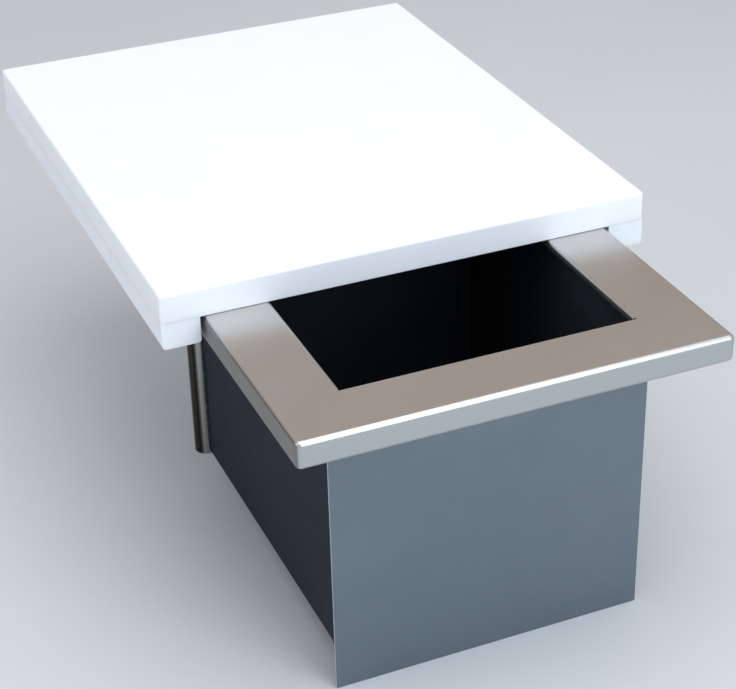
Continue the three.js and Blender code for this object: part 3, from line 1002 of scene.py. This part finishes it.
def frame_cutters():
    low, high = frame_low, frame_high
    sides = (-MOUTH_HALF_WIDTH, MOUTH_HALF_WIDTH)
    corners = [(x, y) for x in sides for y in (MOUTH_FRONT, MOUTH_BACK)]
    shape = rods(corners, RELIEF_RADIUS, high.z - MOUTH_LIP - MM, high.z + MM, 20)
    reach = SEAT_WIDTH * math.sqrt(2)
    for x, across in ((low.x, 1), (high.x, -1)):
        for y, along in ((low.y, 1), (high.y, -1)):
            made = bmesh.ops.create_cube(shape, size=1.0)["verts"]
            bmesh.ops.scale(shape, verts=made, vec=(reach, MITRE_GAP, 2.4 * SHEET))
            turn = Matrix.Rotation(math.atan2(along, across), 3, "Z")
            bmesh.ops.rotate(shape, verts=made, cent=(0, 0, 0), matrix=turn)
            inward = Vector((across, along, 0)) * (SEAT_WIDTH / 2 + MITRE_INWARDS)
            bmesh.ops.translate(shape, verts=made, vec=Vector((x, y, low.z)) + inward)
    return shape


cut_away(top_frame, frame_cutters())
keep_flat(top_frame)
print("frame cut:", len(top_frame.data.polygons), "faces")

# %% [markdown]
# ## Folded sheets
#
# The front panel, the side walls, the rear wall and the stiffener are all the same kind of piece:
# a section drawn with a few points, pushed along an axis. A bevel on the fold lines bends the sheet
# with a real radius.

# %% A folded sheet from its section
BEND = 1.5 * MM
EASED = 0.25 * MM


def folded(shape, points, push, segments=6):
    """Adds one folded sheet's middle surface: a chain of points pushed by a vector."""
    verts = [shape.verts.new(p) for p in points]
    edges = [shape.edges.new(pair) for pair in zip(verts, verts[1:])]
    grown = bmesh.ops.extrude_edge_only(shape, edges=edges)["geom"]
    far = [v for v in grown if isinstance(v, bmesh.types.BMVert)]
    bmesh.ops.translate(shape, verts=far, vec=push)
    faces = [f for f in grown if isinstance(f, bmesh.types.BMFace)]
    folds = [e for f in faces for e in f.edges if len(e.link_faces) == 2]
    round_edges(shape, set(folds), BEND, segments)


def front_panel_shape():
    low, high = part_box("front_panel")
    middle = high.y - SHEET / 2
    top = high.z - SHEET / 2
    shape = bmesh.new()
    folded(
        shape,
        [(low.x, low.y, top), (low.x, middle, top), (low.x, middle, low.z)],
        (high.x - low.x, 0, 0),
    )
    bmesh.ops.recalc_face_normals(shape, faces=shape.faces)
    return shape


front_panel = add_piece(
    "front_panel_sheet", front_panel_shape(), "housing", "front_panel", PANEL_STEEL)
give_thickness(front_panel, SHEET)
ease_edges(front_panel, EASED)
drill(front_panel, "stud_nut_front", STUD_HOLE, *HANGER_SPAN)
print("front panel:", [round(v, 4) for v in front_panel.dimensions])

# %% [markdown]
# A side wall has a hanger flange folded outwards at its top, a foot flange folded inwards at its
# bottom, and a short flange behind the front panel. The flange runs down past the foot, so it is a
# second folded sheet, welded on. Each wall is drawn from its own box; a sign says which side it is.

# %% Side walls
FOOT_FLANGE = 14 * MM
CORNER_STRIP = 8 * MM
UNDER_HANGER = 5 * MM


def solid_sheet(shape):
    """A folded sheet's middle surface as a closed sheet with eased edges."""
    bmesh.ops.recalc_face_normals(shape, faces=shape.faces)
    thing = as_object(shape)
    give_thickness(thing, SHEET)
    ease_edges(thing, EASED)
    result = solid_of(thing)
    bpy.data.objects.remove(thing)
    return result


def side_wall_shape(node, sign):
    """sign is -1 for the left wall and 1 for the right one."""
    low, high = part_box(node)
    outer, inner = (low.x, high.x) if sign < 0 else (high.x, low.x)
    plane = inner + sign * (FOOT_FLANGE - SHEET / 2)
    top, foot = high.z - SHEET / 2, low.z + SHEET / 2
    front = low.y + SHEET / 2
    seam = front + CORNER_STRIP
    wall = bmesh.new()
    folded(
        wall,
        [(outer, seam, top), (plane, seam, top), (plane, seam, foot), (inner, seam, foot)],
        (0, high.y - seam, 0),
    )
    corner = bmesh.new()
    behind = seam + SHEET
    folded(
        corner,
        [(plane, behind, low.z), (plane, front, low.z), (plane - sign * FOOT_FLANGE, front, low.z)],
        (0, 0, high.z - UNDER_HANGER - low.z),
    )
    return carve(solid_sheet(wall), solid_sheet(corner), "UNION")


for side, sign in (("left", -1), ("right", 1)):
    node = f"side_wall_{side}"
    wall = add_piece(
        f"{node}_sheet", side_wall_shape(node, sign), "housing", node, SHADED_WALL_STEEL)
    drill(wall, f"stud_nut_{side}", STUD_HOLE, *HANGER_SPAN)
    drill(wall, f"base_screw_{side}", SCREW_HOLE, *FOOT_SPAN)
    print(node, [round(v, 4) for v in wall.dimensions])

# %% [markdown]
# The rear wall hangs like the others and closes the well. The shelf behind the mouth carries the
# open cover's weight, so a hat-shaped channel is bonded under it. A hat is a stiff section that can
# be folded from one strip.

# %% Rear wall and stiffener
REAR_HANGER = 18 * MM
STIFFENER_SHEET = 1.2 * MM
STIFFENER_BRIM = 12 * MM
STIFFENER_EASED = 0.2 * MM


def rear_wall_shape():
    low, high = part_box("rear_wall")
    plane = high.y - REAR_HANGER - SHEET / 2
    top, foot = high.z - SHEET / 2, low.z + SHEET / 2
    shape = bmesh.new()
    folded(
        shape,
        [(low.x, high.y, top), (low.x, plane, top), (low.x, plane, foot), (low.x, low.y, foot)],
        (high.x - low.x, 0, 0),
    )
    bmesh.ops.recalc_face_normals(shape, faces=shape.faces)
    return shape


def stiffener_shape():
    low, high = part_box("shelf_stiffener")
    top, bottom = high.z - STIFFENER_SHEET / 2, low.z + STIFFENER_SHEET / 2
    front, back = low.y + STIFFENER_BRIM, high.y - STIFFENER_BRIM
    section = [
        (low.y, top), (front, top), (front, bottom), (back, bottom), (back, top), (high.y, top),
    ]
    shape = bmesh.new()
    folded(shape, [(low.x, y, z) for y, z in section], (high.x - low.x, 0, 0))
    bmesh.ops.recalc_face_normals(shape, faces=shape.faces)
    return shape


rear_wall = add_piece(
    "rear_wall_sheet", rear_wall_shape(), "housing", "rear_wall", SHADED_WALL_STEEL)
give_thickness(rear_wall, SHEET)
ease_edges(rear_wall, EASED)
drill(rear_wall, "stud_nut_rear", STUD_HOLE, *HANGER_SPAN)
stiffener = add_piece(
    "shelf_stiffener_hat", stiffener_shape(), "housing", "shelf_stiffener",
    HIDDEN_STEEL)
give_thickness(stiffener, STIFFENER_SHEET)
ease_edges(stiffener, STIFFENER_EASED)
print("rear wall and stiffener made")

# %% [markdown]
# ## Rear posts
#
# A post is a drawn tube. A circle pushed upwards makes its skin, and the thickness goes inwards.
# Its lower end is closed by a moulded insert with a hollow foot: a short cylinder, inset and pushed
# in.

# %% Posts and their plugs
POST_WALL = 2 * MM
POST_EASED = 0.3 * MM
PLUG_RIM = 2.2 * MM
PLUG_HOLLOW = 2 * MM
PLUG_EDGE = 0.4 * MM


def tube_shape(node):
    low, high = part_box(node)
    centre = (low + high) / 2
    radius = (high.x - low.x) / 2
    shape = bmesh.new()
    bmesh.ops.create_circle(shape, cap_ends=False, segments=72, radius=radius)
    bmesh.ops.translate(shape, verts=shape.verts, vec=(centre.x, centre.y, low.z))
    grown = bmesh.ops.extrude_edge_only(shape, edges=shape.edges[:])["geom"]
    far = [v for v in grown if isinstance(v, bmesh.types.BMVert)]
    bmesh.ops.translate(shape, verts=far, vec=(0, 0, high.z - low.z))
    bmesh.ops.recalc_face_normals(shape, faces=shape.faces)
    shape.faces.ensure_lookup_table()
    side = shape.faces[0]
    if side.normal.xy.dot(side.calc_center_median().xy - centre.xy) < 0:
        bmesh.ops.reverse_faces(shape, faces=shape.faces)
    return shape


def plug_shape(node):
    low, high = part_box(node)
    centre = (low + high) / 2
    radius = (high.x - low.x) / 2
    shape = bmesh.new()
    bmesh.ops.create_cone(
        shape, cap_ends=True, segments=48, radius1=radius, radius2=radius, depth=high.z - low.z)
    bmesh.ops.translate(shape, verts=shape.verts, vec=centre)
    shape.normal_update()
    foot = [f for f in shape.faces if f.normal.z < -LEVEL]
    bmesh.ops.inset_region(shape, faces=foot, thickness=PLUG_RIM)
    bmesh.ops.translate(shape, verts=foot[0].verts, vec=(0, 0, PLUG_HOLLOW))
    rims = [e for e in shape.edges if len(e.link_faces) == 2 and e.calc_face_angle(0) > 1.0]
    round_edges(shape, rims, PLUG_EDGE, 2)
    return shape


for side in ("left", "right"):
    post = add_piece(
        f"rear_post_{side}_tube", tube_shape(f"rear_post_{side}"),
        "housing", f"rear_post_{side}", TUBE_STEEL)
    give_thickness(post, POST_WALL, -1.0)
    ease_edges(post, POST_EASED)
    add_piece(
        f"post_plug_{side}_insert", plug_shape(f"post_plug_{side}"),
        "housing", f"post_plug_{side}", BLACK_PLASTIC)
    print("post", side, [round(v, 4) for v in post.dimensions])

# %% [markdown]
# ## Cover
#
# The board and its two runners are sawn and planed polyethylene with lightly broken edges. Their
# seam stays open by the width of a hair. Each runner's lower corners are rounder, and it has
# countersunk holes for the screws that hold it up to the board.

# %% Board
BOARD_EDGE = 2.6 * MM
RUNNER_EDGE = 0.35 * MM
SCREW_ROOM = 0.3 * MM


def board_shape():
    low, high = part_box("cover_board")
    shape = block(low, high)
    under = [e for e in shape.edges if all(v.co.z < low.z + MM for v in e.verts)]
    round_edges(shape, [e for e in shape.edges if e not in under], BOARD_EDGE, 6)
    shape.normal_update()
    under = [e for e in shape.edges
             if all(v.co.z < low.z + MM for v in e.verts) and e.calc_face_angle(0) > 1]
    round_edges(shape, under, RUNNER_EDGE, 2)
    return shape


board = add_piece(
    "cover_board_slab", board_shape(), "cover", "cover_board", BOARD_WHITE)
board_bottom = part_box("cover_board")[0].z
screw_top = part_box("runner_screw_left_1")[1].z
drill(board, "runner_screw", SCREW_HOLE, board_bottom - MM, screw_top + SCREW_ROOM)
print("board:", [round(v, 4) for v in board.dimensions])

# %% [markdown]
# A runner is a bar with a rounder lower edge, so that it doesn't catch on the worktop. The screws
# come up through it from below. Each hole is cut with one turned body: a mouth, a cone for the
# screw's head and a shank.

# %% Runners
RUNNER_ROUND = 3 * MM
SEAM_CLOSED = 0.25 * MM
SCREWS_PER_RUNNER = 4
CONE_DEPTH = 2.9 * MM
CUTTER_BELOW = 2 * MM
CUTTER_ABOVE = 30 * MM


def countersinks(side):
    """Cutters for one runner's screw holes: a mouth, a cone and a shank in one turned body."""
    cutters = []
    for number in range(1, SCREWS_PER_RUNNER + 1):
        low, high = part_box(f"runner_screw_{side}_{number}")
        head = (high.x - low.x) / 2 + SCREW_ROOM
        cutter = turned([
            (0, -CUTTER_BELOW), (head, -CUTTER_BELOW), (head, 0), (SCREW_HOLE, CONE_DEPTH),
            (SCREW_HOLE, CUTTER_ABOVE), (0, CUTTER_ABOVE)])
        centre = (low + high) / 2
        bmesh.ops.translate(cutter, verts=cutter.verts, vec=(centre.x, centre.y, low.z))
        cutters.append(cutter)
    return together(cutters)


def runner_shape(node):
    low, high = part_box(node)
    high.z += SEAM_CLOSED
    shape = block(low, high)
    lower = [e for e in shape.edges
             if all(v.co.z < low.z + MM for v in e.verts)
             and abs(e.verts[0].co.y - e.verts[1].co.y) > 0.1]
    round_edges(shape, lower, RUNNER_ROUND, 6)
    crisp = [e for e in shape.edges if e.calc_face_angle(0) > math.radians(60)]
    round_edges(shape, crisp, RUNNER_EDGE, 3)
    return shape


for side in ("left", "right"):
    node = f"runner_{side}"
    bar = add_piece(f"{node}_bar", runner_shape(node), "cover", node, RUNNER_WHITE)
    cut_away(bar, countersinks(side))
    keep_flat(bar)
    print(node, len(bar.data.polygons), "faces")

# %% [markdown]
# ## Liner and base
#
# The liner is one moulded tray with thick walls, open at the top. It stands on a skirt, and its two
# rear corners step round the posts. The tray is one rounded block with another one carved out of
# it; both have the same notches, a wall's thickness apart. The base is a flat plate with the same
# notches.

# %% Liner
LINER_WALL = 2.5 * MM
LINER_FOOT = 5 * MM
LINER_ROUND = 3 * MM
RIM_ROUND = 0.8 * MM
SKIRT_ROUND = 1 * MM
BASE_ROUND = 0.3 * MM
NOTCH_GAP = 0.3 * MM
posts = [sum(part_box(f"rear_post_{side}"), Vector()) / 2 for side in ("left", "right")]
post_low, post_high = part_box("rear_post_left")
POST_RADIUS = (post_high.x - post_low.x) / 2


def notched_block(low, high, margin, radius):
    """A block with rounded edges, stepping round both posts at a distance."""
    shape = block(low, high)
    round_edges(shape, shape.edges, radius, 4)
    around = rods([p.xy for p in posts], POST_RADIUS + margin, low.z - MM, high.z + MM, 48)
    return carve(shape, around)


def liner_shape():
    low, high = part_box("well_liner")
    wall = Vector((LINER_WALL, LINER_WALL, 0))
    inner_gap = NOTCH_GAP + LINER_WALL
    tray = notched_block(low, high, NOTCH_GAP, RIM_ROUND)
    floor_top = Vector((0, 0, LINER_FOOT + LINER_WALL))
    well = notched_block(low + wall + floor_top, high - wall + floor_top, inner_gap, LINER_ROUND)
    under_low = low + wall - Vector((0, 0, LINER_FOOT))
    under_high = Vector((high.x - wall.x, high.y - wall.y, low.z + LINER_FOOT))
    under = notched_block(under_low, under_high, inner_gap, SKIRT_ROUND)
    return carve(carve(tray, well), under)


liner = add_piece(
    "well_liner_tray", liner_shape(), "housing", "well_liner", BLACK_PLASTIC)
keep_flat(liner)
plate = notched_block(*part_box("base_panel"), NOTCH_GAP, BASE_ROUND)
base = add_piece("base_plate", plate, "housing", "base_panel", HIDDEN_STEEL)
drill(base, "base_screw", SCREW_HOLE, *BASE_SPAN)
print("liner:", len(liner.data.polygons), "faces; base:", len(base.data.polygons), "faces")

# %% [markdown]
# ## Fasteners
#
# A screw is turned: half of its section is spun about its axis, thread and all. The thread is drawn
# as rings, which is how it looks at this size. A hexagonal socket is carved into the head.

# %% Turned shapes


def thread(radius, low, high, pitch, depth):
    """The zigzag of a thread's flank between two heights."""
    turns = max(1, int((high - low) / pitch))
    step = (high - low) / turns
    points = []
    for turn in range(turns):
        points += [(radius - depth, low + step * (turn + 0.1)), (radius, low + step * (turn + 0.6))]
    return points


def hexagon(radius, low, high):
    shape = bmesh.new()
    bmesh.ops.create_cone(
        shape, cap_ends=True, segments=6, radius1=radius, radius2=radius, depth=high - low)
    bmesh.ops.translate(shape, verts=shape.verts, vec=(0, 0, (low + high) / 2))
    return shape


def put_in_box(shape, node):
    """Moves a shape drawn from height 0 upwards onto its engineering piece's box."""
    low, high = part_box(node)
    centre = (low + high) / 2
    bmesh.ops.translate(shape, verts=shape.verts, vec=(centre.x, centre.y, low.z))
    return shape


def add_fasteners(prefix, make, body, ending):
    """One fastener for every engineering piece whose name starts so."""
    names = [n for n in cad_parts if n.startswith(prefix)]
    for name in names:
        add_piece(f"{name}_{ending}", make(name), body, name, FASTENER_STEEL)
    print(prefix, "made:", len(names))


print("fastener helpers ready")

# %% Screws
SHANK = 2.4 * MM
CONE_TOP = 2.8 * MM
DOME = 2.6 * MM
COUNTERSUNK_SOCKET = (2 * MM, -MM, 1.8 * MM)
BUTTON_SOCKET = (1.6 * MM, -MM, 1.5 * MM)


def countersunk_screw(node):
    """Seen from below: a flat head in the runner, its cone and its thread going up."""
    low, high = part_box(node)
    head, length = (high.x - low.x) / 2, high.z - low.z
    profile = [(0, 0), (head - 0.3 * MM, 0), (head, 0.2 * MM), (head, 0.4 * MM), (SHANK, CONE_TOP)]
    profile += thread(SHANK, 8 * MM, length - MM, pitch=1.2 * MM, depth=0.35 * MM)
    profile += [(SHANK - 0.8 * MM, length), (0, length)]
    return put_in_box(carve(turned(profile), hexagon(*COUNTERSUNK_SOCKET)), node)


def button_screw(node):
    """Seen from below: a domed head under the base, its thread going up."""
    low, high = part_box(node)
    head, length = (high.x - low.x) / 2, high.z - low.z
    profile = [(0, 0), (head * 0.45, 0.05 * MM), (head * 0.72, 0.35 * MM),
               (head * 0.9, 0.95 * MM), (head, 1.7 * MM), (head, DOME), (SHANK, DOME)]
    profile += thread(SHANK, DOME + 0.6 * MM, length - 0.4 * MM, pitch=0.8 * MM, depth=0.3 * MM)
    profile += [(SHANK - 0.5 * MM, length), (0, length)]
    return put_in_box(carve(turned(profile), hexagon(*BUTTON_SOCKET)), node)


add_fasteners("base_screw", button_screw, "housing", "turned")
add_fasteners("runner_screw", countersunk_screw, "cover", "turned")

# %% [markdown]
# The hanger flanges hang from studs welded under the frame. Each stud carries a washer and a
# hexagon nut. The nut's corners are cut back by the same cone that a lathe would use.

# %% Studs with their nuts
STUD_RADIUS = 2.5 * MM
NUT_CORNER = 4.6 * MM
NUT_HEIGHT = 4 * MM
NUT_BOTTOM = 3.9 * MM
WASHER_THICKNESS = 1 * MM


def stud_shape(length):
    profile = [(0, 0), (STUD_RADIUS - 0.6 * MM, 0)]
    profile += thread(STUD_RADIUS, 0.5 * MM, length - 1.5 * MM, pitch=0.8 * MM, depth=0.3 * MM)
    profile += [(STUD_RADIUS, length - MM), (STUD_RADIUS, length), (0, length)]
    return turned(profile)


def nut_shape(top):
    wide, low, high = NUT_CORNER + 0.2 * MM, NUT_BOTTOM - 0.01 * MM, top + 0.2 * MM
    cone = [(0, low), (NUT_CORNER * 0.86, low), (wide, NUT_BOTTOM + 0.7 * MM), (wide, high),
            (0, high)]
    return carve(hexagon(NUT_CORNER, NUT_BOTTOM, top), turned(cone), "INTERSECT")


def washer_shape(radius, nut_top):
    rim = nut_top + WASHER_THICKNESS
    return turned([
        (0, nut_top - 0.05 * MM), (radius - 0.2 * MM, nut_top - 0.05 * MM),
        (radius, nut_top + 0.15 * MM), (radius, rim - 0.15 * MM), (radius - 0.15 * MM, rim),
        (0, rim)])


def stud_with_nut(node):
    low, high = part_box(node)
    nut_top = NUT_BOTTOM + NUT_HEIGHT
    body = carve(stud_shape(high.z - low.z), nut_shape(nut_top), "UNION")
    washer = washer_shape((high.x - low.x) / 2, nut_top)
    return put_in_box(carve(body, washer, "UNION"), node)


add_fasteners("stud_nut", stud_with_nut, "housing", "hex")

# %% [markdown]
# ## Sizes
#
# The engineering model's box is printed below; the finer pieces are meant to fill the same box.

# %% Print the engineering model's box
print("cad box", [tuple(round(v, 4) for v in c) for c in cad_box])
